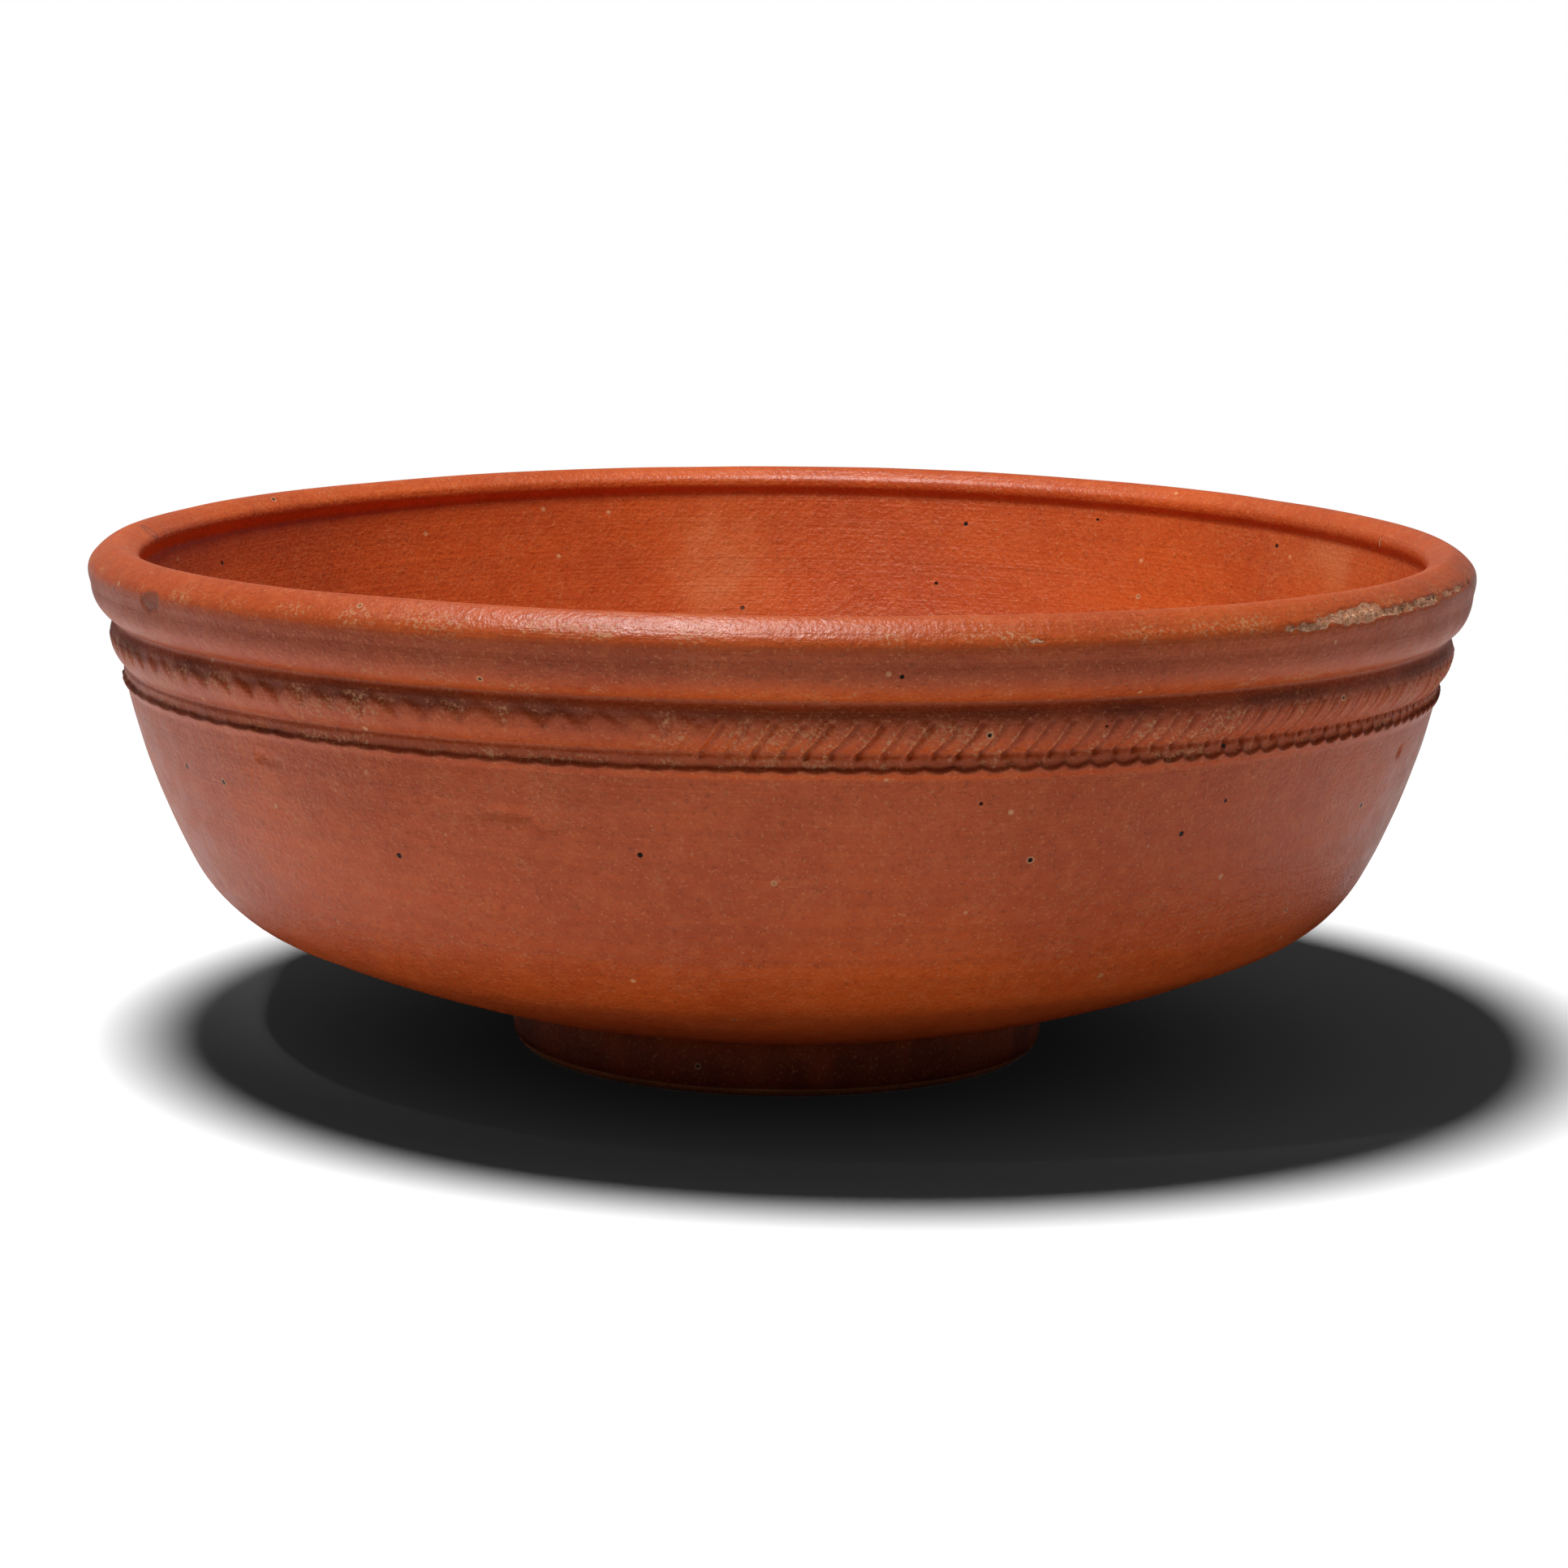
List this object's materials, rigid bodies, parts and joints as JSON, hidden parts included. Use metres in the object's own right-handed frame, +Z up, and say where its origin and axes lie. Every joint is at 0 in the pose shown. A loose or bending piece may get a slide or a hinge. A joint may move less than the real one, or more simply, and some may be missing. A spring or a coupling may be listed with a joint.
{
  "type": "slipped ceramic bowl",
  "caption": "Red-slipped pottery bowl with a thickened lip, rouletted mouldings below it, a low wall turn and a ring foot; holds food or liquid.",
  "frame": {"origin": "centre of the standing ring, on the table plane", "axes": "+Z up along the axis the bowl was thrown on; the picture was taken from the -Y side"},
  "size_m": [0.18, 0.18, 0.068],
  "materials": {
    "fired_clay": "wheel-thrown fine orange-buff earthenware, unglazed, granular where chipped",
    "foot_clay": "wheel-thrown fine orange-buff earthenware, worn smooth on the standing edge",
    "luting_clay": "fired clay slurry, smoothed with a finger",
    "red_slip": "semi-gloss orange-red sintered slip, worn at the lip and on the beads"
  },
  "bodies": {
    "root": {"bowl_body": "fired_clay", "foot_ring": "foot_clay", "luting_slip": "luting_clay", "slip_coat": "red_slip"}
  },
  "joints": []
}
